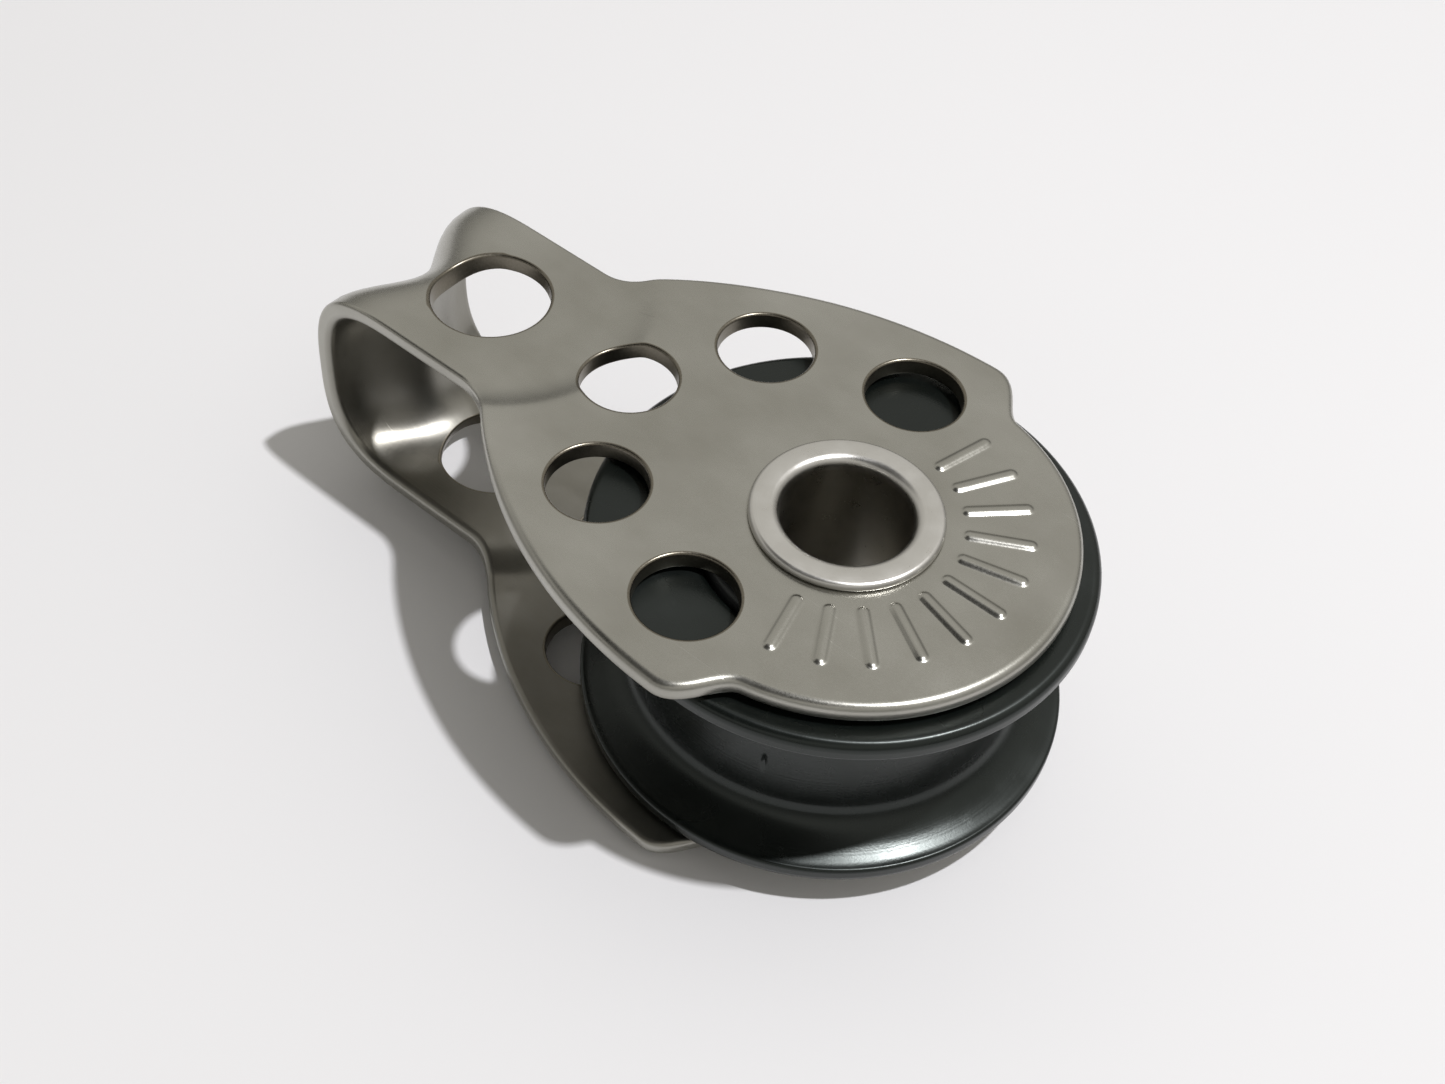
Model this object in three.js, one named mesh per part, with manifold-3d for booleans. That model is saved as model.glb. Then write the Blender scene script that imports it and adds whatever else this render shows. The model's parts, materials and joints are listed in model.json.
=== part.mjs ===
import * as THREE from "three";
import { mergeVertices } from "three/addons/utils/BufferGeometryUtils.js";
import Module from "manifold-3d";

// Small single sailing block: a folded strap of sheet steel carries a grooved
// sheave that runs on two rows of balls round a hollow rivet.
// Millimetres. +X runs from the rivet to the head loop, +Z is the rivet axis.
// The block lies on its lower rivet head, so z = 0 is that head's face.

// strap
const SHEET = 1.0;               // sheet thickness
const GAP = 11.8;                // clear width between the cheeks
const TAIL_R = 11.35;            // cheek edge round the rivet, tail side
const SHOULDER = [0.45, 13.68];  // widest point of the cheek
const FLANK = [8.7, 12.2];       // point on the long curved side
const NECK = [17.25, 7.05];      // end of that side, before the tongue
const TONGUE_HALF = 5.5;         // half width of the tongue and head loop
const STEP = 0.5;                // each tongue is pressed in by this much
const STEP_X = 22.7;             // centre of the round edge of the pressed part
const STEP_R = [6.0, 8.2];       // foot and top of the slope round that centre
const BEND_X = 25.0;             // where the head loop starts, from the rivet
const LOOP_DEPTH = [4.65, 6.55]; // reach of the loop past BEND_X, mid width and flared ears
const LOOP_SKEW = 0.2;           // the ear on the -Y side reaches this much further
const LOOP_FULLNESS = [2.3, 3];  // exponent of the loop's rounded section, mid width and ears
const EAR_Y = 4.9;               // where the flare is complete
const HEAD_HOLE = { x: 23.4, r: 3.15 };
const LIGHT_HOLE_R = 2.5;
const LIGHT_HOLES = [[13.78, 0], [10.08, 6.45], [10.08, -6.45], [2.45, 8.93], [2.45, -8.93]];
const RIB = { count: 11, inner: 5.9, outer: 8.8, half: 0.28, proud: 0.12, from: 104, step: 15.2 };

// rivet
const TUBE_R = 4.0;
const BORE_R = 3.25;
const HEAD_R = 4.75;
const HEAD_PROUD = 0.45;
const FIT = 0.05;                // radial clearance of the tube in its holes
const SEAT = 0.02;               // clearance between faces that bear on each other

// sheave and bearing
const SHEAVE_R = 12.5;
const SHEAVE_W = 11.3;
const RIM_W = 1.0;               // width of each rim outside the groove
const ROOT_R = 9.8;              // bottom of the rope groove
const FLANGE = [[11.2, 0.35], [10.35, 0.75], [9.92, 1.8]];   // its curve: radius, drop from the lip
const BALL_R = 1.19;             // 3/32 inch ball
const BALLS = 16;                // per row
const PITCH_R = 6.45;            // circle of the ball centres
const ROW_Z = 2.9;               // row height above and below mid plane
const TRACK_R = BALL_R + 0.05;   // section radius of the ball tracks
const RACE_R = 5.2;
const RACE_FLANGE_R = 7.0;
const LAND_R = 6.65;             // sheave bore between the two rows

const HALF = GAP / 2 + SHEET;    // mid plane to the cheek's outer face
const RIVET_X = (SHEAVE_R - BEND_X - LOOP_DEPTH[1] - LOOP_SKEW) / 2;
const MID_Z = HALF + HEAD_PROUD;

const wasm = await Module();
wasm.setup();

const steel = new THREE.Color(0.46, 0.445, 0.41);
const FINISH = {
  sheet: { color: steel, roughness: 0.34, metalness: 1 },
  rivet: { color: new THREE.Color(0.62, 0.61, 0.58), roughness: 0.26, metalness: 1 },
  sheave: { color: new THREE.Color(0.028, 0.033, 0.032), roughness: 0.42, metalness: 0 },
  race: { color: new THREE.Color(0.05, 0.052, 0.055), roughness: 0.45, metalness: 0 },
  ball: { color: new THREE.Color(0.82, 0.81, 0.77), roughness: 0.35, metalness: 0 },
};

const group = new THREE.Group();

function place(name, geometry, finish) {
  geometry.translate(RIVET_X, 0, MID_Z);
  const mesh = new THREE.Mesh(geometry, new THREE.MeshStandardMaterial(FINISH[finish]));
  mesh.name = name;
  mesh.material.name = finish;
  group.add(mesh);
}

function toSolid(geometry) {
  let g = geometry.clone();
  for (const key of Object.keys(g.attributes)) if (key !== "position") g.deleteAttribute(key);
  g = mergeVertices(g, 1e-4);
  return new wasm.Manifold(new wasm.Mesh({
    numProp: 3,
    vertProperties: new Float32Array(g.attributes.position.array),
    triVerts: new Uint32Array(g.index.array),
  }));
}

function toGeometry(solid) {
  const mesh = solid.getMesh();
  const g = new THREE.BufferGeometry();
  g.setAttribute("position", new THREE.BufferAttribute(new Float32Array(mesh.vertProperties), 3));
  g.setIndex(new THREE.BufferAttribute(new Uint32Array(mesh.triVerts), 1));
  g.computeVertexNormals();
  return g;
}

// solid of revolution about Z from a closed [radius, height] outline
function turned(outline, segments) {
  const points = [...outline, outline[0]].map(([r, z]) => new THREE.Vector2(r, z));
  return new THREE.LatheGeometry(points, segments).rotateX(Math.PI / 2);
}

// points of an arc in the [radius, height] plane, angles in degrees
function arc(cx, cz, r, from, to, steps) {
  return Array.from({ length: steps + 1 }, (_, i) => {
    const a = THREE.MathUtils.degToRad(from + ((to - from) * i) / steps);
    return [cx + r * Math.cos(a), cz + r * Math.sin(a)];
  });
}

const mirrored = (outline) => outline.map(([r, z]) => [r, -z]).reverse();

// centre of the circle through three points
function centreOf([ax, ay], [bx, by], [cx, cy]) {
  const d = 2 * (ax * (by - cy) + bx * (cy - ay) + cx * (ay - by));
  const a = ax * ax + ay * ay, b = bx * bx + by * by, c = cx * cx + cy * cy;
  return [
    (a * (by - cy) + b * (cy - ay) + c * (ay - by)) / d,
    (a * (cx - bx) + b * (ax - cx) + c * (bx - ax)) / d,
  ];
}

// one half of the cheek's edge, tail to tongue; side is +1 or -1
function edgePoints(side) {
  const [mx, my] = centreOf(SHOULDER, FLANK, NECK);
  const mr = Math.hypot(SHOULDER[0] - mx, SHOULDER[1] - my);
  const angle = ([x, y]) => THREE.MathUtils.radToDeg(Math.atan2(y - my, x - mx));
  const shoulder = new THREE.CubicBezierCurve(
    new THREE.Vector2(...arc(0, 0, TAIL_R, 103, 103, 1)[0]),
    new THREE.Vector2(-1.55, 11.3), new THREE.Vector2(-1.2, 13.6), new THREE.Vector2(...SHOULDER));
  const neck = new THREE.QuadraticBezierCurve(
    new THREE.Vector2(...NECK), new THREE.Vector2(18.75, TONGUE_HALF + 0.05),
    new THREE.Vector2(20.2, TONGUE_HALF));
  return [
    ...arc(0, 0, TAIL_R, 180, 103, 16).slice(0, -1),
    ...shoulder.getPoints(8).map((p) => [p.x, p.y]),
    ...arc(mx, my, mr, angle(SHOULDER), angle(NECK), 10).slice(1, -1),
    ...neck.getPoints(6).map((p) => [p.x, p.y]),
    [BEND_X, TONGUE_HALF],
  ].map(([x, y]) => new THREE.Vector2(x, side * y));
}

// frustum between two heights, radii given at each
function cone(z0, r0, z1, r1) {
  const g = new THREE.CylinderGeometry(r1, r0, z1 - z0, 96).rotateX(Math.PI / 2);
  return toSolid(g.translate(STEP_X, 0, (z0 + z1) / 2));
}

// upper cheek with its tongue, which lies lower by STEP inside a round sloping edge
function cheek() {
  const shape = new THREE.Shape([...edgePoints(1), ...edgePoints(-1).slice(1).reverse()]);
  const depth = SHEET + STEP, under = HALF - SHEET, foot = HALF - depth;
  const blank = new THREE.ExtrudeGeometry(shape, { depth, bevelEnabled: false }).translate(0, 0, foot);
  const [r0, r1] = STEP_R, flare = r1 - r0;
  const above = cone(HALF - STEP, r0, HALF + STEP, r1 + flare);
  const slab = toSolid(new THREE.BoxGeometry(60, 60, 2).translate(10, 0, under - 1));
  const below = slab.subtract(cone(foot - STEP, r0 - flare, under + STEP, r1 + flare));
  return toSolid(blank).subtract(above).subtract(below);
}

// head loop: rounded sections whose reach grows from mid width to the flared edges
function headLoop() {
  const rows = 24, cols = 12;
  const mix = ([a, b], t) => a + (b - a) * t;
  const point = (i, j, inset) => {
    const y = TONGUE_HALF * (-1 + (2 * j) / cols);
    const flare = (1 - Math.cos(Math.PI * Math.min(Math.abs(y) / EAR_Y, 1))) / 2;
    const skew = (-LOOP_SKEW * y) / TONGUE_HALF;
    const reach = mix(LOOP_DEPTH, flare) + skew - inset;
    const a = Math.PI * (0.5 - i / rows);
    const end = i === 0 || i === rows;
    const fuller = (v) => Math.sign(v) * Math.abs(v) ** (2 / mix(LOOP_FULLNESS, flare));
    const out = end ? 0 : reach * fuller(Math.cos(a));
    return [BEND_X + out, y, (HALF - STEP - inset) * fuller(Math.sin(a))];
  };
  const positions = [], index = [];
  for (const inset of [0, SHEET])
    for (let i = 0; i <= rows; i++) for (let j = 0; j <= cols; j++) positions.push(...point(i, j, inset));
  const id = (layer, i, j) => (layer * (rows + 1) + i) * (cols + 1) + j;
  const quad = (a, b, c, d) => index.push(a, b, c, a, c, d);
  for (let i = 0; i < rows; i++) {
    for (let j = 0; j < cols; j++) {
      quad(id(0, i, j), id(0, i + 1, j), id(0, i + 1, j + 1), id(0, i, j + 1));
      quad(id(1, i, j), id(1, i, j + 1), id(1, i + 1, j + 1), id(1, i + 1, j));
    }
    quad(id(0, i, 0), id(1, i, 0), id(1, i + 1, 0), id(0, i + 1, 0));
    quad(id(0, i, cols), id(0, i + 1, cols), id(1, i + 1, cols), id(1, i, cols));
  }
  for (let j = 0; j < cols; j++) {
    quad(id(0, 0, j), id(0, 0, j + 1), id(1, 0, j + 1), id(1, 0, j));
    quad(id(0, rows, j), id(1, rows, j), id(1, rows, j + 1), id(0, rows, j + 1));
  }
  const g = new THREE.BufferGeometry();
  g.setAttribute("position", new THREE.Float32BufferAttribute(positions, 3));
  g.setIndex(index);
  return g;
}

function drill(x, y, r, segments) {
  const g = new THREE.CylinderGeometry(r, r, 3 * HALF, segments).rotateX(Math.PI / 2);
  return toSolid(g.translate(x, y, 0));
}

// raised bar with round ends, lying along X
function rib() {
  const shape = new THREE.Shape();
  shape.absarc(RIB.outer, 0, RIB.half, -Math.PI / 2, Math.PI / 2, false);
  shape.absarc(RIB.inner, 0, RIB.half, Math.PI / 2, (3 * Math.PI) / 2, false);
  return new THREE.ExtrudeGeometry(shape, { depth: RIB.proud + 0.2, bevelEnabled: false, curveSegments: 5 });
}

function strap() {
  const upper = cheek();
  let solid = toSolid(headLoop()).add(upper).add(upper.mirror([0, 0, 1]));
  for (const [x, y] of LIGHT_HOLES) solid = solid.subtract(drill(x, y, LIGHT_HOLE_R, 40));
  solid = solid.subtract(drill(HEAD_HOLE.x, 0, HEAD_HOLE.r, 48)).subtract(drill(0, 0, TUBE_R + FIT, 56));
  for (let i = 0; i < RIB.count; i++) {
    const bar = rib().rotateZ(THREE.MathUtils.degToRad(RIB.from + i * RIB.step));
    solid = solid.add(toSolid(bar.translate(0, 0, HALF - 0.2)));
  }
  return toGeometry(solid);
}

// tube with a flat-topped rolled head at each end
function rivet() {
  const top = HALF + HEAD_PROUD;
  const half = [
    [TUBE_R, HALF + SEAT],
    [HEAD_R - 0.05, HALF + SEAT],
    [HEAD_R, HALF + 0.2],
    [HEAD_R - 0.1, top - 0.1],
    [HEAD_R - 0.35, top],
    [BORE_R + 0.6, top],
    [BORE_R + 0.25, top - 0.08],
    [BORE_R + 0.06, top - 0.3],
    [BORE_R, top - 0.7],
  ];
  return turned([...half, ...mirrored(half)], 56);
}

// upper half of the inner race: a sleeve with a flange that closes the ball row
function raceHalf(side) {
  const outline = [
    [TUBE_R + FIT, SEAT],
    [RACE_R, SEAT],
    ...arc(PITCH_R, ROW_Z, TRACK_R, 180, 100, 8).map(([r, z]) => [Math.max(r, RACE_R), z]),
    [RACE_FLANGE_R, ROW_Z + TRACK_R],
    [RACE_FLANGE_R, GAP / 2 - SEAT],
    [TUBE_R + FIT, GAP / 2 - SEAT],
  ];
  return turned(side > 0 ? outline : mirrored(outline), 48);
}

function sheave() {
  const face = SHEAVE_W / 2, lip = face - RIM_W;
  const edge = [SHEAVE_R - 0.15, lip];
  const curve = [edge, ...FLANGE.map(([r, drop]) => [r, lip - drop])].map((p) => new THREE.Vector2(...p));
  const flange = new THREE.CubicBezierCurve(...curve).getPoints(9).map((p) => [p.x, p.y]);
  const root = [[ROOT_R + 0.03, 1.3], [ROOT_R, 0], [ROOT_R + 0.03, -1.3]];
  const groove = [...flange, ...root, ...mirrored(flange)];
  const rim = [
    [SHEAVE_R - 0.35, face],
    [SHEAVE_R - 0.1, face - 0.1],
    [SHEAVE_R, face - 0.35],
    [SHEAVE_R, lip + 0.15],
  ];
  const track = arc(PITCH_R, ROW_Z, TRACK_R, 0, -80, 8);
  const bore = [[PITCH_R + TRACK_R, face], ...track, [LAND_R, ROW_Z - TRACK_R]];
  const outside = [...rim, ...groove, ...mirrored(rim)].reverse();
  return turned([...bore, ...mirrored(bore), ...outside], 72);
}

place("cheek_strap", strap(), "sheet");
place("hollow_rivet", rivet(), "rivet");
place("sheave", sheave(), "sheave");
place("inner_race_upper", raceHalf(1), "race");
place("inner_race_lower", raceHalf(-1), "race");
for (const [row, side] of [["upper", 1], ["lower", -1]])
  for (let i = 0; i < BALLS; i++) {
    const a = (2 * Math.PI * (i + (side > 0 ? 0 : 0.5))) / BALLS;
    const ball = new THREE.SphereGeometry(BALL_R, 12, 8).rotateX(Math.PI / 2).rotateZ(a);
    ball.translate(PITCH_R * Math.cos(a), PITCH_R * Math.sin(a), side * ROW_Z);
    place(`ball_${row}_${String(i + 1).padStart(2, "0")}`, ball, "ball");
  }

export default group;
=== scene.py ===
"""Looks of the small single block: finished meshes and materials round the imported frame."""

import json
import math
import random

import bpy
from mathutils import Matrix, Vector
from mathutils.geometry import delaunay_2d_cdt


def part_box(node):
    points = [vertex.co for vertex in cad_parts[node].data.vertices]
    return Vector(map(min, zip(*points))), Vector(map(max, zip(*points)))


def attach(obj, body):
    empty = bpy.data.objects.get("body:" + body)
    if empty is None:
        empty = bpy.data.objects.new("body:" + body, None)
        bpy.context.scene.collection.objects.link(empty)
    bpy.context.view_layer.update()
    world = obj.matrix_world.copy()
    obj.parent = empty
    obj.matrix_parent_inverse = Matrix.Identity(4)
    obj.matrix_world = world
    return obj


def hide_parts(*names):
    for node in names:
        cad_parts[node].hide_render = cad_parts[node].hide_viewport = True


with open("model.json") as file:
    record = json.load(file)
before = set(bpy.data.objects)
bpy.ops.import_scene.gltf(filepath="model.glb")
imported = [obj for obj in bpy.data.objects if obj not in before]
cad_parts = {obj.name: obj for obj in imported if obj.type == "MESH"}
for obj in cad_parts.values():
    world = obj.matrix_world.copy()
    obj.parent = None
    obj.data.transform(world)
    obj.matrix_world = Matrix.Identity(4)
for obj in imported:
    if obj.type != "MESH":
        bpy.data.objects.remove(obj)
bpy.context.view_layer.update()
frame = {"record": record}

MM = 0.001


# ---------------------------------------------------------------- sizes, in millimetres
# Places come from the frame. The strap's outline repeats the design's driving dimensions.

strap_low, strap_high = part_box("cheek_strap")
sheave_low, sheave_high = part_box("sheave")
rivet_low, rivet_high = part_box("hollow_rivet")

RIVET_X = (sheave_low.x + sheave_high.x) / 2 / MM
MID_Z = (rivet_low.z + rivet_high.z) / 2 / MM

SHEET = 1.0
GAP = 11.8
HALF = GAP / 2 + SHEET
TAIL_R = 11.35
TAIL_END = 103                # degrees from +x, where the tail's circle ends
HOLLOW = [(-1.55, 11.3), (-1.2, 13.6)]    # handles of the hollow from the tail to the shoulder
SHOULDER = (0.45, 13.68)
FLANK = (8.7, 12.2)
NECK = (17.25, 7.05)
NECK_HANDLE = (18.75, 5.55)
TONGUE_X = 20.2               # where the tongue's straight sides start
TONGUE_HALF = 5.5
STEP = 0.5                    # each tongue is pressed in by this much
STEP_X = 22.7                 # centre of the pressed part's round edge
STEP_R = (6.0, 8.2)           # foot and top of the slope round that centre
STEP_SOFT = 0.1               # how gently the slope starts
BEND_X = 25.0                 # where the head loop starts
LOOP_DEPTH = (4.65, 6.55)     # reach of the loop past BEND_X, mid width and ears
LOOP_SKEW = 0.2               # the loop reaches this much further at one edge than in the middle
LOOP_FULLNESS = (2.3, 3.0)    # exponent of its rounded section, mid width and ears
EAR_Y = 4.9                   # where the flare of the loop's edges is complete
LOOP_LENGTH = 20.0            # of the strip round the head loop
STRIP_END = 2 * BEND_X + LOOP_LENGTH
HEAD_HOLE = (23.4, 3.15)      # centre and radius
LIGHT_HOLE_R = 2.5
LIGHT_HOLES = [(13.78, 0), (10.08, 6.45), (10.08, -6.45), (2.45, 8.93), (2.45, -8.93)]
RIVET_HOLE_R = 4.05
CHEEK_EDGE = (0.44, 0.28)     # rounding of the sheet's outer and inner edge round the cheeks
TONGUE_EDGE = (0.22, 0.42)    # the same along the tongues and the loop
EDGE_CHANGE = (12.0, 19.0)    # the one runs into the other between these places
HOLE_EDGE = 0.15              # and at the holes
RIB = {"count": 11, "inner": 5.9, "outer": 8.8, "half": 0.28, "proud": 0.12}
RIB_FIRST, RIB_STEP = 104, 15.2           # degrees
# rings of a bar's slope: how far outside its edge, and what share of its height
RIB_SLOPE = [(0.2, 0), (0.1, 0), (0.03, 0.16), (-0.04, 0.55), (-0.12, 0.86), (-0.22, 1)]
# radii of the mesh points that follow the tongue's crease
CREASE_RINGS = (8.8, 8.55, 8.35, 8.2, 8.05, 7.85, 7.6, 7.3, 6.9, 6.5, 6.1, 5.7)
BEND_GRID = 0.5               # spacing of the mesh points in the head loop
BEND_CLEAR = 0.45             # how far they stay from the sheet's edges
CREASE_CLEAR = 0.14           # and the points along the creases

TUBE_R = 4.0
BORE_R = 3.25
HEAD_R = 4.75
HEAD_PROUD = 0.45
HEAD_LIP = 0.28               # rounding of the rivet head's outer edge
HEAD_ROLL = 0.5               # and of its mouth

SHEAVE_R = 12.5
SHEAVE_W = 11.3
RIM_W = 1.0
RIM_ROUND = (0.6, 0.2)        # of the rim, at the cheek and at the groove
LIP_IN = 0.15                 # the flange's curve starts this far inside the rim
FLANGE = [(11.2, 0.35), (10.08, 0.72), (9.92, 1.8)]      # its handles and foot: radius, drop
ROOT_R = 9.8
ROOT_RISE = 0.12              # of the root from mid plane to the flange's foot
GATE = {"angle": 108.8, "z": -0.47, "deep": 0.1, "wide": 0.1, "tall": 0.4}    # angle in degrees
GATE_MESH = (0.006, 0.06)     # fine angle step across the mark, and how far it goes, in radians

BALL_R = 1.19
BALL_LINE = 0.012             # how proud the parting line is
BALL_LINE_WIDE = 0.05
BALL_SQUASH = 0.99            # along its moulding axis
PITCH_R = 6.45
ROW_Z = 2.9
TRACK_R = BALL_R + 0.05
RACE_R = 5.2
RACE_FLANGE_R = 7.0
LAND_R = 6.65                 # of the sheave between its two ball tracks
MOUTH_R = 7.3                 # of the sheave round the race flange


# ---------------------------------------------------------------- plane geometry

def arc(cx, cy, r, start, end, steps):
    """Points of an arc, angles in degrees, both ends included."""
    angles = [math.radians(start + (end - start) * i / steps) for i in range(steps + 1)]
    return [(cx + r * math.cos(a), cy + r * math.sin(a)) for a in angles]


def bezier(points, steps):
    """Points of a Bezier curve with any number of handles, both ends included."""
    out = []
    for i in range(steps + 1):
        t, row = i / steps, [Vector(p) for p in points]
        while len(row) > 1:
            row = [a.lerp(b, t) for a, b in zip(row, row[1:])]
        out.append(tuple(row[0]))
    return out


def circle_through(a, b, c):
    """Centre of the circle through three points."""
    d = 2 * (a[0] * (b[1] - c[1]) + b[0] * (c[1] - a[1]) + c[0] * (a[1] - b[1]))
    sa, sb, sc = (p[0] ** 2 + p[1] ** 2 for p in (a, b, c))
    x = (sa * (b[1] - c[1]) + sb * (c[1] - a[1]) + sc * (a[1] - b[1])) / d
    y = (sa * (c[0] - b[0]) + sb * (a[0] - c[0]) + sc * (b[0] - a[0])) / d
    return x, y


def filleted(corners, steps=6, support=0.05):
    """A closed outline from (r, z, fillet radius) corners, with a support point beside each fillet."""
    out = []
    for i, (r, z, radius) in enumerate(corners):
        here = Vector((r, z))
        if radius == 0:
            out.append(here)
            continue
        before = Vector(corners[i - 1][:2]) - here
        after = Vector(corners[(i + 1) % len(corners)][:2]) - here
        half = before.angle(after) / 2
        reach = min(radius / math.tan(half), 0.48 * min(before.length, after.length))
        radius = reach * math.tan(half)
        before.normalize()
        after.normalize()
        centre = here + (before + after).normalized() * (radius / math.sin(half))
        first, last = here + before * reach - centre, here + after * reach - centre
        turn = first.angle_signed(last)
        out.append(here + before * (reach + support))
        for k in range(steps + 1):
            out.append(centre + Matrix.Rotation(-turn * k / steps, 2) @ first)
        out.append(here + after * (reach + support))
    return [tuple(p) for p in out]


# ---------------------------------------------------------------- mesh helpers

def finished(name, verts, faces, body, material, nodes):
    """Makes a smooth-shaded piece from points in millimetres about the rivet's centre."""
    shift = Vector((RIVET_X, 0, MID_Z))
    mesh = bpy.data.meshes.new(name)
    mesh.from_pydata([(Vector(v) + shift) * MM for v in verts], [], faces)
    mesh.validate()
    mesh.shade_smooth()
    mesh.materials.append(material)
    piece = bpy.data.objects.new(name, mesh)
    bpy.context.scene.collection.objects.link(piece)
    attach(piece, body)
    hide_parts(*nodes)
    return piece


def even(count):
    """Angles of a full turn in equal steps."""
    return [2 * math.pi * i / count for i in range(count)]


def revolve(outline, angles, wobble=None):
    """Vertices and faces of a closed (r, z) outline turned about Z, facing out.
    wobble(r, z, angle) is added to each radius."""
    n, segments = len(outline), len(angles)
    area = sum(a[0] * b[1] - b[0] * a[1] for a, b in zip(outline, outline[1:] + outline[:1]))
    if area < 0:
        outline = outline[::-1]
    verts = []
    for a in angles:
        for r, z in outline:
            if wobble:
                r += wobble(r, z, a)
            verts.append((r * math.cos(a), r * math.sin(a), z))
    faces = []
    for i in range(segments):
        k = (i + 1) % segments
        for j in range(n):
            m = (j + 1) % n
            faces.append((i * n + j, k * n + j, k * n + m, i * n + m))
    return verts, faces


def mirrored(outline):
    """The same outline on the other side of mid plane, running on from the first."""
    return [(p[0], -p[1], *p[2:]) for p in reversed(outline)]


# ---------------------------------------------------------------- the strap

def loop_section(y):
    """How far the head loop's outer face reaches past BEND_X, and the power that shapes its section."""
    flare = (1 - math.cos(math.pi * min(abs(y) / EAR_Y, 1))) / 2
    reach, fullness = (a + (b - a) * flare for a, b in (LOOP_DEPTH, LOOP_FULLNESS))
    return reach - LOOP_SKEW * y / TONGUE_HALF, 2 / fullness


def pressed(x, y):
    """How far the sheet is pressed in here: a crisp round crease that eases out to the tongue."""
    from_middle = math.hypot(x - STEP_X, y) if x < STEP_X else abs(y)
    t = (STEP_R[1] - from_middle) / (STEP_R[1] - STEP_R[0])
    t = min((t + math.hypot(t, STEP_SOFT)) / 2, 1)
    return STEP * (1 - (1 - t) ** 2)


def strip_point(s, y, h):
    """Where a point of the flat strip goes: s along it, y across, h above its middle surface."""
    inset = SHEET / 2 - h
    x = min(s, STRIP_END - s)
    if x <= BEND_X:
        z = HALF - inset - pressed(x, y)
        return (x, y, z if s == x else -z)
    a = math.pi * (s - BEND_X) / LOOP_LENGTH
    reach, power = loop_section(y)
    z = math.copysign(abs(math.cos(a)) ** power, math.cos(a)) * (HALF - STEP - inset)
    return (BEND_X + (reach - inset) * math.sin(a) ** power, y, z)


def cheek_side():
    """One side of the upper cheek from the tail to the start of the head loop."""
    cx, cy = circle_through(SHOULDER, FLANK, NECK)
    radius = math.hypot(SHOULDER[0] - cx, SHOULDER[1] - cy)
    start, end = (math.degrees(math.atan2(p[1] - cy, p[0] - cx)) for p in (SHOULDER, NECK))
    tail = arc(0, 0, TAIL_R, 180, TAIL_END, 56)
    shoulder = bezier([tail[-1], *HOLLOW, SHOULDER], 18)
    flank = arc(cx, cy, radius, start, end, 40)
    neck = bezier([NECK, NECK_HANDLE, (TONGUE_X, TONGUE_HALF)], 14)
    tongue = [(TONGUE_X + (BEND_X - TONGUE_X) * i / 10, TONGUE_HALF) for i in range(1, 11)]
    return tail[:-1] + shoulder[:-1] + flank[:-1] + neck + tongue


def strip_outline():
    """The flat strip's outline, counterclockwise."""
    upper = cheek_side()
    loop = [(BEND_X + LOOP_LENGTH * i / 48, TONGUE_HALF) for i in range(1, 48)]
    lower = [(STRIP_END - x, y) for x, y in reversed(upper)]
    side = upper + loop + lower
    far = [(s, -y) for s, y in side[1:-1]]
    return [side[0], *far, side[-1], *side[-2:0:-1]]


def head_hole(lower):
    """The head hole's edge. It runs a little way into the bend, so x is carried over to s."""
    x0, r = HEAD_HOLE
    points = []
    for x, y in arc(x0, 0, r, 360, 0, 72)[:-1]:
        if x > BEND_X:
            reach, power = loop_section(y)
            x = BEND_X + LOOP_LENGTH / math.pi * math.asin(((x - BEND_X) / reach) ** (1 / power))
        points.append((x, y))
    return [(STRIP_END - x, -y) for x, y in points] if lower else points


def strip_holes():
    """Every hole of the strip as a clockwise loop: both cheeks and both tongues."""
    out = []
    round_holes = [(*centre, LIGHT_HOLE_R, 64) for centre in LIGHT_HOLES] + [(0, 0, RIVET_HOLE_R, 72)]
    for x, y, r, steps in round_holes:
        out.append(arc(x, y, r, 360, 0, steps)[:-1])
        out.append(arc(STRIP_END - x, y, r, 360, 0, steps)[:-1])
    return out + [head_hole(False), head_hole(True)]


def into_material(loop):
    """Unit normals pointing to the left of travel, which is where the sheet is."""
    out = []
    for i in range(len(loop)):
        a, b = Vector(loop[i - 1]), Vector(loop[(i + 1) % len(loop)])
        t = (b - a).normalized()
        out.append((-t.y, t.x))
    return out


def inside(p, loop):
    """True if p is inside the closed loop."""
    hit = False
    for a, b in zip(loop, loop[1:] + loop[:1]):
        if (a[1] > p[1]) != (b[1] > p[1]):
            if p[0] < a[0] + (p[1] - a[1]) * (b[0] - a[0]) / (b[1] - a[1]):
                hit = not hit
    return hit


def bend_points():
    """Points on a grid that let the sheet follow the head loop."""
    rows, columns = int(LOOP_LENGTH / BEND_GRID), int(2 * TONGUE_HALF / BEND_GRID)
    return [(BEND_X + LOOP_LENGTH * i / rows, -TONGUE_HALF + 2 * TONGUE_HALF * j / columns)
            for i in range(rows + 1) for j in range(1, columns)]


def crease_points():
    """Points on arcs that let the sheet follow the pressed part of both tongues."""
    out = []
    for radius in CREASE_RINGS:
        for x, y in arc(STEP_X, 0, radius, 90, 270, int(radius * 6)):
            out += [(x, y), (STRIP_END - x, -y)]
    return out


def free_points(loops):
    """Inner points of the sheet inside the first loop and outside the rest, clear of their edges."""
    def clear(p, keep):
        return all(math.hypot(p[0] - q[0], p[1] - q[1]) > keep for loop in loops for q in loop)

    def on_sheet(p):
        return inside(p, loops[0]) and not any(inside(p, loop) for loop in loops[1:])

    wanted = [(p, BEND_CLEAR) for p in bend_points()] + [(p, CREASE_CLEAR) for p in crease_points()]
    return [p for p, keep in wanted if clear(p, keep) and on_sheet(p)]


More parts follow.
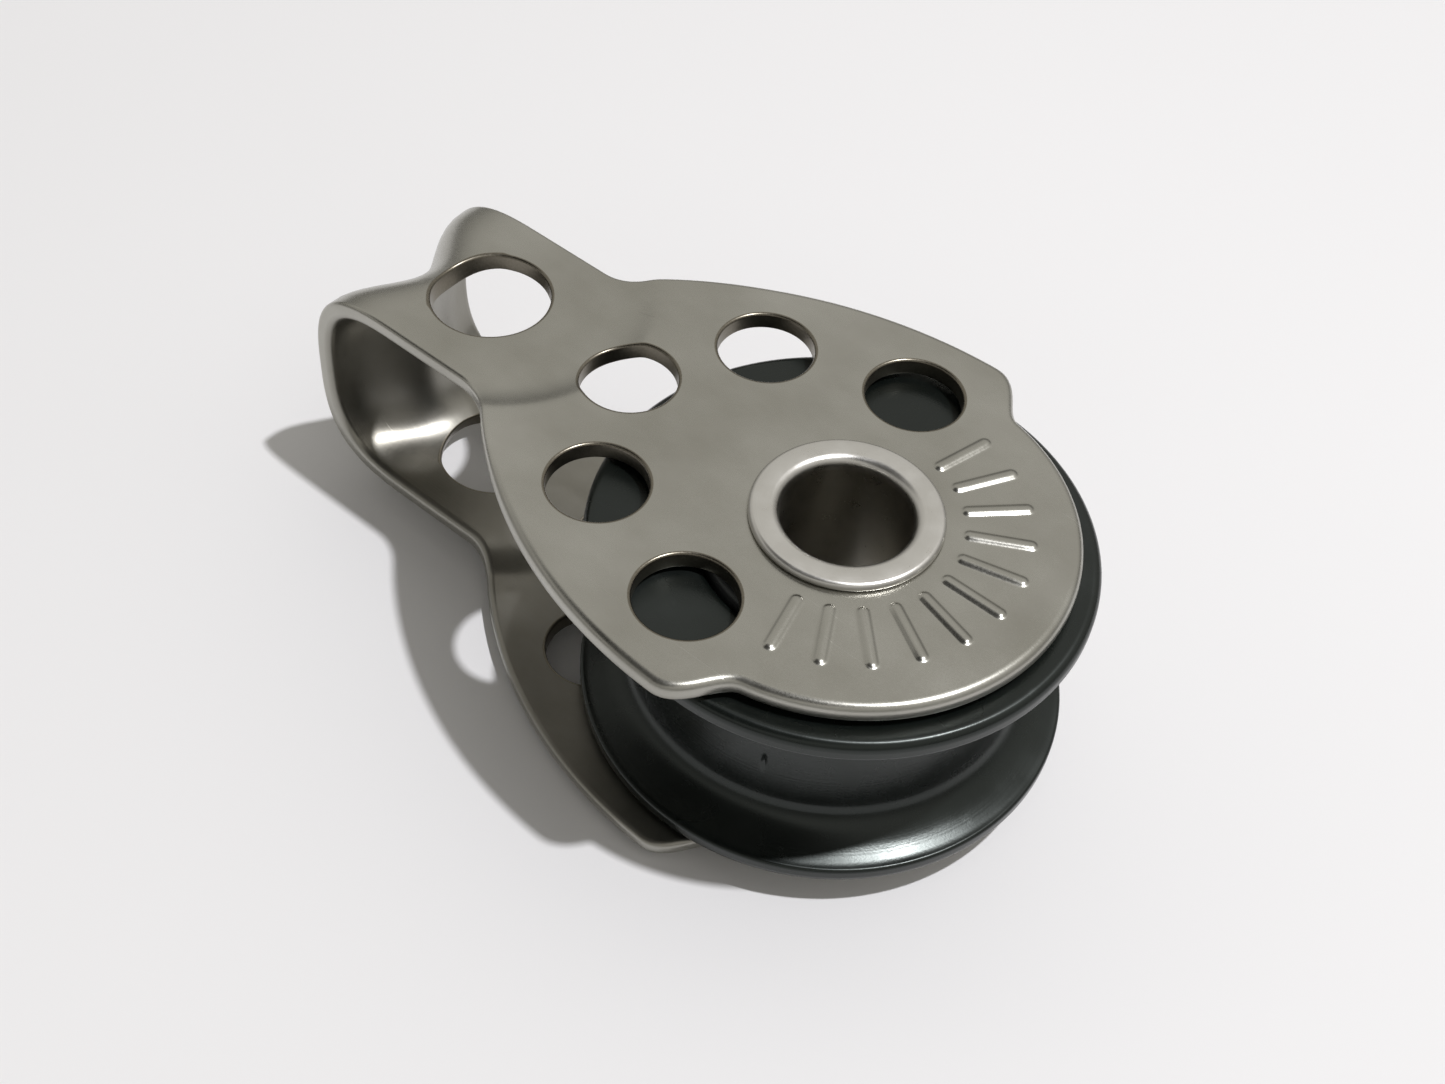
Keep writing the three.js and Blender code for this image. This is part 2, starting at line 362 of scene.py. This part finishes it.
class Sheet:
    """Collects the strap's vertices and faces, and for each vertex how deep it lies in the sheet
    (0 on the outer face, 1 on the inner) and whether it is on the cut wall of a hole."""

    def __init__(self):
        self.verts, self.faces = [], []
        self.depths, self.cuts = [], []

    def add(self, s, y, h, cut=0):
        self.verts.append(strip_point(s, y, h))
        self.depths.append(0.5 - h / SHEET)
        self.cuts.append(cut)
        return len(self.verts) - 1

    def band(self, upper, lower):
        """Quads between two rings of the same length."""
        n = len(upper)
        for i in range(n):
            k = (i + 1) % n
            self.faces.append((upper[i], lower[i], lower[k], upper[k]))

    def fill(self, loops, rings, inner, up):
        """Triangles of one face of the sheet, inside the first loop and outside the others,
        which share the rings' vertices."""
        points, ids, edges = [], [], []
        for loop, ring in zip(loops, rings):
            base = len(points)
            points += loop
            ids += ring
            edges += [(base + i, base + (i + 1) % len(loop)) for i in range(len(loop))]
        h = SHEET / 2 if up else -SHEET / 2
        for p in inner:
            points.append(p)
            ids.append(self.add(*p, h))
        flat, _, tris, origin, _, _ = delaunay_2d_cdt([Vector(p) for p in points], edges, [], 0, 1e-7)
        for tri in tris:
            mid = sum((flat[i] for i in tri), Vector((0, 0))) / 3
            if inside(mid, loops[0]) and not any(inside(mid, loop) for loop in loops[1:]):
                face = [ids[origin[i][0]] for i in tri]
                self.faces.append(tuple(face if up else face[::-1]))


def edge_radii(s):
    """Rounding of the strip's outer and inner edge at s, which changes along the cheek's flank."""
    start, end = EDGE_CHANGE
    t = min(max((min(s, STRIP_END - s) - start) / (end - start), 0), 1)
    t = t * t * (3 - 2 * t)
    return [a + (b - a) * t for a, b in zip(CHEEK_EDGE, TONGUE_EDGE)]


def rounded_edge(sheet, loop, hole, support=0.04, steps=5):
    """The wall of one loop with both its edges rounded; returns the flat loops and rings to fill to."""
    normals = into_material(loop)
    above, below = zip(*((HOLE_EDGE, HOLE_EDGE) if hole else edge_radii(p[0]) for p in loop))

    def ring(insets, heights, cut):
        pts = [(p[0] + n[0] * i, p[1] + n[1] * i) for p, n, i in zip(loop, normals, insets)]
        return pts, [sheet.add(*p, h, cut) for p, h in zip(pts, heights)]

    def turn(radii, side, a):
        insets = [r * (1 - math.sin(a)) for r in radii]
        return ring(insets, [side * (SHEET / 2 - r * (1 - math.cos(a))) for r in radii], hole)

    quarter = [math.pi / 2 * k / steps for k in range(steps + 1)]
    rows = [ring([r + support for r in above], [SHEET / 2] * len(loop), 0)]
    rows += [turn(above, 1, a) for a in quarter] + [turn(below, -1, a) for a in reversed(quarter)]
    rows.append(ring([r + support for r in below], [-SHEET / 2] * len(loop), 0))
    for upper, lower in zip(rows, rows[1:]):
        sheet.band(upper[1], lower[1])
    return rows[0], rows[-1]


def rib(sheet, angle):
    """A low raised bar with round ends on the upper cheek; returns its foot's loop and ring."""
    rows = []
    for beside, rise in RIB_SLOPE:
        half = RIB["half"] + beside
        far = arc(RIB["outer"], 0, half, 90, -90, 8)
        near = arc(RIB["inner"], 0, half, 270, 90, 8)
        run = [RIB["inner"] + (RIB["outer"] - RIB["inner"]) * i / 6 for i in range(1, 6)]
        flat = far + [(x, -half) for x in reversed(run)] + near + [(x, half) for x in run]
        turn = Matrix.Rotation(math.radians(angle), 2)
        pts = [tuple(turn @ Vector(p)) for p in flat]
        rows.append((pts, [sheet.add(*p, SHEET / 2 + RIB["proud"] * rise) for p in pts]))
    for outer, inner in zip(rows, rows[1:]):
        sheet.band(outer[1], inner[1])
    sheet.faces.append(tuple(reversed(rows[-1][1])))
    return rows[0]


def strap(material):
    """The stamped strip, folded into both cheeks, both tongues and the head loop."""
    sheet = Sheet()
    loops = [strip_outline()] + strip_holes()
    tops, bottoms = [], []
    for i, loop in enumerate(loops):
        top, bottom = rounded_edge(sheet, loop, hole=i > 0)
        tops.append(top)
        bottoms.append(bottom)
    for i in range(RIB["count"]):
        tops.append(rib(sheet, RIB_FIRST + i * RIB_STEP))
    for rows, up in ((tops, True), (bottoms, False)):
        flat = [r[0] for r in rows]
        sheet.fill(flat, [r[1] for r in rows], free_points(flat), up)
    piece = finished("strap", sheet.verts, sheet.faces, "frame", material, ["cheek_strap"])
    for name, values in (("depth", sheet.depths), ("cut", sheet.cuts)):
        piece.data.attributes.new(name, "FLOAT", "POINT").data.foreach_set("value", values)
    return piece


# ---------------------------------------------------------------- turned pieces

def rivet(material):
    """A tube with a rolled head at each end, lifted a little at its outer lip."""
    top, lip, roll = HALF + HEAD_PROUD, HEAD_LIP, HEAD_ROLL
    head = [(TUBE_R, HALF - 0.2), (TUBE_R + 0.02, HALF + 0.02), (TUBE_R + 0.1, HALF + 0.04)]
    head += [(HEAD_R - 0.25, HALF + 0.06)] + arc(HEAD_R - lip, top - lip, lip, -18, 84, 14)
    head += arc(BORE_R + roll, top - roll, roll, 97, 180, 14)
    head.append((BORE_R, HALF - 0.5))
    verts, faces = revolve(head + mirrored(head), even(160))
    return finished("rivet", verts, faces, "frame", material, ["hollow_rivet"])


def rope_groove(lip):
    """Upper half of the groove's section: a hollow flange that runs into a nearly flat root."""
    edge = (SHEAVE_R - LIP_IN, lip)
    flange = bezier([edge] + [(r, lip - drop) for r, drop in FLANGE], 20)[1:]
    foot = flange[-1][1]
    heights = [foot * (1 - i / 18) for i in range(1, 19)]
    return flange + [(ROOT_R + ROOT_RISE * (z / foot) ** 2, z) for z in heights]


def bearing_bore(face):
    """Upper half of the bore's section: a chamfered mouth, the balls' track and the land."""
    track = arc(PITCH_R, ROW_Z, TRACK_R, 0, -80, 16)
    mouth = [(MOUTH_R + 0.3, face), (MOUTH_R + 0.1, face - 0.03), (MOUTH_R, face - 0.15),
             (MOUTH_R, ROW_Z + 1.5), (MOUTH_R + 0.05, ROW_Z + 1.45), (track[0][0], ROW_Z + 1.1)]
    return mouth + track + [(LAND_R, ROW_Z - TRACK_R - 0.05)]


def sheave_angles():
    """Even steps of a full turn, with finer ones across the gate mark."""
    gate, (step, reach) = math.radians(GATE["angle"]), GATE_MESH
    fine = [gate + step * i for i in range(-9, 10)]
    return sorted([a for a in even(240) if abs(a - gate) > reach] + fine)


def sheave(material):
    """The grooved wheel: two narrow rims, hollow flanges, a nearly flat root and the bore."""
    face, lip = SHEAVE_W / 2, SHEAVE_W / 2 - RIM_W
    groove = rope_groove(lip)
    corners = [(SHEAVE_R, face, RIM_ROUND[0]), (SHEAVE_R, lip, RIM_ROUND[1])]
    rim = filleted_open(corners, before=(SHEAVE_R - 2, face), after=groove[0])
    bore = bearing_bore(face)
    outer = rim + groove + mirrored(groove)[1:] + mirrored(rim)
    verts, faces = revolve(outer + (bore + mirrored(bore))[::-1], sheave_angles(), gate_mark)
    return finished("sheave_turned", verts, faces, "sheave", material, ["sheave"])


def filleted_open(corners, before, after):
    """The fillets of an open run of corners between two fixed points."""
    ends = [(*before, 0), *corners, (*after, 0)]
    return filleted(ends)[1:-1]


def gate_mark(r, z, angle):
    """A small dent in the rope groove where the moulding gate was trimmed."""
    if not ROOT_R - 0.1 < r < SHEAVE_R - 0.6:
        return 0
    across = (angle - math.radians(GATE["angle"])) * ROOT_R / GATE["wide"]
    along = (z - GATE["z"]) / GATE["tall"]
    return -GATE["deep"] * math.exp(-across ** 2 - along ** 2)


def race(side, material):
    """One half of the inner race: a sleeve with a flange and half of each ball's track."""
    end, split = GAP / 2 - 0.02, 0.03
    track = [(max(r, RACE_R), z, 0) for r, z in arc(PITCH_R, ROW_Z, TRACK_R, 180, 100, 16)]
    half = [
        (TUBE_R + 0.05, split, 0.12),
        (RACE_R, split, 0.15),
        *track,
        (RACE_FLANGE_R, ROW_Z + TRACK_R, 0.15),
        (RACE_FLANGE_R, end, 0.2),
        (TUBE_R + 0.05, end, 0.12),
    ]
    outline = filleted(half if side > 0 else mirrored(half))
    verts, faces = revolve(outline, even(120))
    name = "upper" if side > 0 else "lower"
    return finished(f"race_{name}", verts, faces, "frame", material, [f"inner_race_{name}"])


def ball(node, body, material):
    """A moulded ball with a faint parting line round it, tilted at random."""
    low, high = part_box(node)
    centre = (low + high) / 2 / MM - Vector((RIVET_X, 0, MID_Z))
    section = []
    for r, z in arc(0, 0, BALL_R, -90, 90, 18):
        line = BALL_LINE * math.exp(-(z / BALL_LINE_WIDE) ** 2)
        section.append((r + line - BALL_LINE, z * BALL_SQUASH))
    verts, faces = revolve_open(section, 28)
    tilt = Matrix.Rotation(chance.uniform(0, 3), 3, "X")
    tilt = tilt @ Matrix.Rotation(chance.uniform(0, 3), 3, "Y")
    verts = [centre + tilt @ Vector(v) for v in verts]
    return finished(f"{node}_moulded", verts, faces, body, material, [node])


def revolve_open(section, segments):
    """Vertices and faces of a section that starts and ends on the axis."""
    rows = section[1:-1]
    verts = [(0, 0, section[0][1]), (0, 0, section[-1][1])]
    for i in range(segments):
        a = 2 * math.pi * i / segments
        verts += [(r * math.cos(a), r * math.sin(a), z) for r, z in rows]
    n, faces = len(rows), []
    for i in range(segments):
        a, b = 2 + i * n, 2 + (i + 1) % segments * n
        faces.append((0, b, a))
        faces.append((1, a + n - 1, b + n - 1))
        faces += [(a + j, b + j, b + j + 1, a + j + 1) for j in range(n - 1)]
    return verts, faces


# ---------------------------------------------------------------- materials

class Shade:
    """A material's node tree with short calls to add and join nodes."""

    def __init__(self, name, **sockets):
        self.material = bpy.data.materials.new(name)
        self.material.use_nodes = True
        self.tree = self.material.node_tree
        self.shader = self.tree.nodes["Principled BSDF"]
        for key, value in sockets.items():
            self.shader.inputs[key.replace("_", " ")].default_value = value
        self.place = self.add("ShaderNodeTexCoord").outputs["Object"]

    def add(self, kind, **values):
        node = self.tree.nodes.new(kind)
        for key, value in values.items():
            setattr(node, key, value)
        return node

    def link(self, a, b):
        self.tree.links.new(a, b)

    def drive(self, socket, value):
        """Joins a node's output to one of the shader's sockets."""
        self.link(value, self.shader.inputs[socket])

    def scaled(self, scale, rotate=(0, 0, 0), offset=(0, 0, 0)):
        """The object's coordinates in millimetres, less offset, times scale."""
        mapping = self.add("ShaderNodeMapping")
        mapping.inputs["Scale"].default_value = [v / MM for v in scale]
        mapping.inputs["Rotation"].default_value = rotate
        mapping.inputs["Location"].default_value = [-o * v for o, v in zip(offset, scale)]
        self.link(self.place, mapping.inputs["Vector"])
        return mapping.outputs["Vector"]

    def noise(self, vector, detail=3.0, rough=0.5, warp=0.0):
        """Noise with features one unit across."""
        node = self.add("ShaderNodeTexNoise")
        values = {"Scale": 1.0, "Detail": detail, "Roughness": rough, "Distortion": warp}
        for key, value in values.items():
            node.inputs[key].default_value = value
        self.link(vector, node.inputs["Vector"])
        return node.outputs["Fac"]

    def rings(self, place, scale, detail, rough=0.5):
        """Noise along one number, such as the turning marks along a radius."""
        node = self.add("ShaderNodeTexNoise", noise_dimensions="1D")
        for key, value in (("Scale", scale), ("Detail", detail), ("Roughness", rough)):
            node.inputs[key].default_value = value
        self.link(place, node.inputs["W"])
        return node.outputs["Fac"]

    def spread(self, value, low, high, to_low, to_high):
        """Carries low..high over to to_low..to_high, and holds it there."""
        node = self.add("ShaderNodeMapRange")
        for key, v in zip(("From Min", "From Max", "To Min", "To Max"), (low, high, to_low, to_high)):
            node.inputs[key].default_value = v
        self.link(value, node.inputs["Value"])
        return node.outputs["Result"]

    def math(self, op, a, b):
        node = self.add("ShaderNodeMath", operation=op)
        for i, v in enumerate((a, b)):
            if isinstance(v, (int, float)):
                node.inputs[i].default_value = v
            else:
                self.link(v, node.inputs[i])
        return node.outputs[0]

    def tint(self, fac, low, high):
        """Mixes two fixed colours."""
        node = self.add("ShaderNodeMix", data_type="RGBA")
        node.inputs["A"].default_value = (*low, 1)
        node.inputs["B"].default_value = (*high, 1)
        self.link(fac, node.inputs["Factor"])
        return node.outputs["Result"]

    def blend(self, fac, low, high):
        """Mixes two colour outputs."""
        node = self.add("ShaderNodeMix", data_type="RGBA")
        self.link(fac, node.inputs["Factor"])
        self.link(low, node.inputs["A"])
        self.link(high, node.inputs["B"])
        return node.outputs["Result"]

    def bump(self, *layers):
        """Stacks (height, depth in millimetres) layers into the shader's normal."""
        normal = None
        for height, depth in layers:
            node = self.add("ShaderNodeBump")
            node.inputs["Distance"].default_value = depth * MM
            self.link(height, node.inputs["Height"])
            if normal is not None:
                self.link(normal, node.inputs["Normal"])
            normal = node.outputs["Normal"]
        self.drive("Normal", normal)

    def round_the_rivet(self):
        """Distance from the rivet's axis, and height, in millimetres."""
        split = self.add("ShaderNodeSeparateXYZ")
        self.link(self.scaled((1, 1, 1), offset=(RIVET_X, 0, 0)), split.inputs[0])
        across = self.math("POWER", split.outputs["X"], 2)
        along = self.math("POWER", split.outputs["Y"], 2)
        return self.math("SQRT", self.math("ADD", across, along), 0), split.outputs["Z"]


def scratches(shade, angle, scale, low=0.71, high=0.76):
    """Sparse fine lines in one direction."""
    lines = shade.noise(shade.scaled((0.035, scale, 0.6), rotate=(0, 0, angle)), detail=2.0, rough=0.6)
    return shade.spread(lines, low, high, 0, 1)


def sheet_steel():
    """Tumbled stainless sheet: soft grain, handling marks, fine scratches, coarser grain inside the
    folds, and painted shade that darkens the inner faces and the hole walls.
    """
    s = Shade("sheet", Metallic=1.0)
    cloud = s.noise(s.scaled((0.11, 0.16, 0.11)), detail=4, rough=0.55)
    smear = s.noise(s.scaled((0.35, 0.12, 0.2), rotate=(0, 0, 0.5)), detail=3, warp=0.6)
    fine = s.noise(s.scaled((9, 9, 9)), detail=4, rough=0.65)
    grain = s.noise(s.scaled((0.35, 13, 0.35)), detail=3, rough=0.6)
    marks = s.math("MAXIMUM", scratches(s, 0.35, 2.6), scratches(s, -0.8, 3.1, 0.73, 0.78))
    depth = s.add("ShaderNodeAttribute", attribute_name="depth").outputs["Fac"]
    cut = s.add("ShaderNodeAttribute", attribute_name="cut").outputs["Fac"]
    inner, edge = s.spread(depth, 0.55, 0.95, 0, 1), s.spread(depth, 0.0, 0.22, 0, 1)
    fade = s.spread(cloud, 0.3, 0.7, 0, 1)
    outside = s.tint(fade, (0.360, 0.352, 0.314), (0.475, 0.468, 0.430))
    # painted shade: the inner faces, between the cheeks and inside the head loop, are given a darker
    # colour
    inner_painted_shade = s.tint(fade, (0.22, 0.21, 0.18), (0.32, 0.31, 0.28))
    # painted shade: the walls of the holes are given a darker colour
    hole_wall_painted_shade = s.tint(fine, (0.13, 0.115, 0.085), (0.27, 0.25, 0.21))
    s.drive("Base Color", s.blend(cut, s.blend(inner, outside, inner_painted_shade), hole_wall_painted_shade))
    rough = s.math("ADD", s.spread(smear, 0.25, 0.75, 0.2, 0.3), s.spread(fine, 0.3, 0.7, -0.03, 0.05))
    rough = s.math("ADD", rough, s.math("MULTIPLY", edge, 0.1))
    rough = s.math("ADD", rough, s.math("MULTIPLY", marks, 0.12))
    s.drive("Roughness", rough)
    drawn = s.math("MULTIPLY", grain, s.spread(inner, 0, 1, 1, 3.5))
    s.bump((drawn, 0.0012), (fine, 0.0016), (s.math("SUBTRACT", 1, marks), 0.004))
    return s.material


def rivet_steel():
    """Turned and rolled stainless: fine rings round the axis and a soft satin lustre; the tube is
    painted darker inside the bore as shade.
    """
    s = Shade("rivet", Metallic=1.0)
    radius, height = s.round_the_rivet()
    rings = s.rings(s.math("ADD", radius, s.math("MULTIPLY", height, 0.7)), scale=16, detail=3)
    cloud = s.noise(s.scaled((0.8, 0.8, 0.8)), detail=3)
    fine = s.noise(s.scaled((11, 11, 11)), detail=3, rough=0.6)
    level = s.math("ABSOLUTE", s.math("SUBTRACT", height, MID_Z), 0)
    # painted shade: darker along the tube, away from the heads, which shows inside the bore
    bore = s.spread(level, HALF - 0.35, HALF + 0.1, 1, 0)
    polished = s.tint(cloud, (0.60, 0.585, 0.55), (0.70, 0.69, 0.66))
    bore_painted_shade = s.tint(cloud, (0.34, 0.325, 0.28), (0.46, 0.44, 0.39))
    s.drive("Base Color", s.blend(bore, polished, bore_painted_shade))
    satin = s.spread(cloud, 0.3, 0.7, 0.25, 0.33)
    s.drive("Roughness", s.math("ADD", satin, s.spread(fine, 0.3, 0.7, 0, 0.06)))
    s.bump((rings, 0.003), (fine, 0.002))
    return s.material


def acetal(name, low, high, rough, ring_depth):
    """Turned acetal: rings round the axis, a waxy gloss and slight rubbing marks."""
    s = Shade(name, IOR=1.48, Specular_Tint=(0.92, 1.0, 0.96, 1), Anisotropic=0.55)
    tangent = s.add("ShaderNodeTangent", direction_type="RADIAL", axis="Z")
    s.drive("Tangent", tangent.outputs["Tangent"])
    rings = s.rings(s.math("ADD", *s.round_the_rivet()), scale=5, detail=4, rough=0.7)
    cloud = s.noise(s.scaled((0.3, 0.3, 0.3)), detail=4)
    fine = s.noise(s.scaled((8, 8, 8)), detail=3, rough=0.6)
    rub = s.spread(s.noise(s.scaled((0.9, 0.9, 2.4)), detail=5, rough=0.7), 0.6, 0.78, 0, 1)
    worn = s.math("ADD", s.spread(cloud, 0.3, 0.7, 0, 0.6), s.math("MULTIPLY", rub, 0.4))
    s.drive("Base Color", s.tint(worn, low, high))
    gloss = s.spread(cloud, 0.3, 0.7, rough - 0.05, rough + 0.06)
    s.drive("Roughness", s.math("ADD", gloss, s.math("MULTIPLY", rub, 0.1)))
    s.bump((rings, ring_depth), (fine, 0.003))
    return s.material


def ball_acetal():
    """Natural acetal: milky, slightly uneven, with a soft sheen."""
    s = Shade("ball", IOR=1.48, Subsurface_Weight=0.25)
    s.shader.inputs["Subsurface Radius"].default_value = (0.8 * MM, 0.7 * MM, 0.5 * MM)
    s.shader.inputs["Subsurface Scale"].default_value = 1.0
    cloud = s.noise(s.scaled((0.9, 0.9, 0.9)), detail=4)
    fine = s.noise(s.scaled((10, 10, 10)), detail=3)
    s.drive("Base Color", s.tint(cloud, (0.74, 0.72, 0.66), (0.84, 0.83, 0.79)))
    s.drive("Roughness", s.spread(cloud, 0.3, 0.7, 0.28, 0.42))
    s.bump((fine, 0.004))
    return s.material


def paper():
    """The floor's pale matt surface."""
    s = Shade("floor", Roughness=0.85)
    cloud = s.noise(s.scaled((0.01, 0.01, 0.01)), detail=3)
    s.drive("Base Color", s.tint(cloud, (0.80, 0.795, 0.80), (0.84, 0.835, 0.84)))
    return s.material


# ---------------------------------------------------------------- camera, floor and light

ROOM_COLOUR = (1.0, 0.975, 0.915)
ROOM_LIGHT = 0.62
ONLOOKER = (0.18, 0.40, 0.90)                  # where the onlooker leans over the block
ONLOOKER_EDGE = (0.76, 0.90)                   # cosines of the angle where that shade starts and ends
ONLOOKER_LIGHT = 0.08                          # what is left of the room's light there
HORIZON_LIGHT = 0.36                           # what is left of it at floor level
HORIZON_TOP = 0.62                             # sine of the height where it is full again
KEY = {"direction": (-0.325, -0.155, 1.0), "distance": 0.5, "size": 0.02,
       "power": 1.79, "colour": (0.99, 0.99, 1.02)}

LENS = 47.03                                   # on a 36 mm wide sensor
CAMERA_AT = Vector((-30.13, 52.68, 66.11))     # from the rivet's axis at the upper cheek, mm
LOOKS_ALONG = Vector((0.37998, -0.53871, -0.75193))
ROLL = 5.825                                   # degrees


def camera():
    """The camera at the photograph's place and angle."""
    data = bpy.data.cameras.new("camera")
    data.lens = LENS
    data.sensor_width = 36
    data.clip_start = 0.001
    eye = bpy.data.objects.new("camera", data)
    eye.location = (CAMERA_AT + Vector((RIVET_X, 0, MID_Z + HALF))) * MM
    eye.rotation_mode = "QUATERNION"
    aim = LOOKS_ALONG.to_track_quat("-Z", "Y")
    eye.rotation_quaternion = aim @ Matrix.Rotation(math.radians(ROLL), 3, "Z").to_quaternion()
    bpy.context.scene.collection.objects.link(eye)
    bpy.context.scene.camera = eye


def floor():
    """A plain sheet of pale paper, 4 m square."""
    mesh = bpy.data.meshes.new("floor")
    side = 2.0
    corners = [(-side, -side, 0), (side, -side, 0), (side, side, 0), (-side, side, 0)]
    mesh.from_pydata(corners, [], [(0, 1, 2, 3)])
    mesh.materials.append(paper())
    plane = bpy.data.objects.new("floor", mesh)
    bpy.context.scene.collection.objects.link(plane)


def lamp(name, direction, distance, size, power, colour):
    """A round area light that faces the block; distance and size in metres."""
    data = bpy.data.lights.new(name, "AREA")
    data.shape = "DISK"
    data.size = size
    data.energy = power
    data.color = colour
    light = bpy.data.objects.new(name, data)
    towards = Vector(direction).normalized()
    light.location = towards * distance + Vector((0, 0, MID_Z * MM))
    light.rotation_mode = "QUATERNION"
    light.rotation_quaternion = (-towards).to_track_quat("-Z", "Y")
    bpy.context.scene.collection.objects.link(light)


def room():
    """An even pale room, dimmer near the floor and where the onlooker stands."""
    world = bpy.data.worlds.new("studio")
    world.use_nodes = True
    tree = world.node_tree
    background = tree.nodes["Background"]
    background.inputs["Color"].default_value = (*ROOM_COLOUR, 1)
    direction = tree.nodes.new("ShaderNodeTexCoord").outputs["Generated"]

    def dimmed(towards, near, far, low, high):
        """Runs from low to high as the cosine of the angle to towards runs from near to far."""
        dot = tree.nodes.new("ShaderNodeVectorMath")
        dot.operation = "DOT_PRODUCT"
        dot.inputs[1].default_value = Vector(towards).normalized()
        tree.links.new(direction, dot.inputs[0])
        ramp = tree.nodes.new("ShaderNodeMapRange")
        ramp.interpolation_type = "SMOOTHSTEP"
        for key, v in zip(("From Min", "From Max", "To Min", "To Max"), (near, far, low, high)):
            ramp.inputs[key].default_value = v
        tree.links.new(dot.outputs["Value"], ramp.inputs["Value"])
        return ramp.outputs["Result"]

    product = tree.nodes.new("ShaderNodeMath")
    product.operation = "MULTIPLY"
    onlooker = dimmed(ONLOOKER, *ONLOOKER_EDGE, ROOM_LIGHT, ROOM_LIGHT * ONLOOKER_LIGHT)
    horizon = dimmed((0, 0, 1), 0, HORIZON_TOP, HORIZON_LIGHT, 1)
    tree.links.new(onlooker, product.inputs[0])
    tree.links.new(horizon, product.inputs[1])
    tree.links.new(product.outputs[0], background.inputs["Strength"])
    bpy.context.scene.world = world


# ---------------------------------------------------------------- the scene

chance = random.Random(11)

camera()
floor()
room()
lamp("key", **KEY)
bpy.context.scene.view_settings.view_transform = "Standard"

strap(sheet_steel())
rivet(rivet_steel())
sheave(acetal("sheave", (0.0035, 0.0048, 0.0042), (0.0065, 0.0085, 0.0075), 0.27, 0.003))
race_black = acetal("race", (0.040, 0.042, 0.044), (0.058, 0.060, 0.062), 0.42, 0.005)
for side in (1, -1):
    race(side, race_black)
white = ball_acetal()
for row in ("upper", "lower"):
    for node in frame["record"]["behaviour"]["bodies"][f"{row}_balls"]:
        ball(node, f"{row}_balls", white)
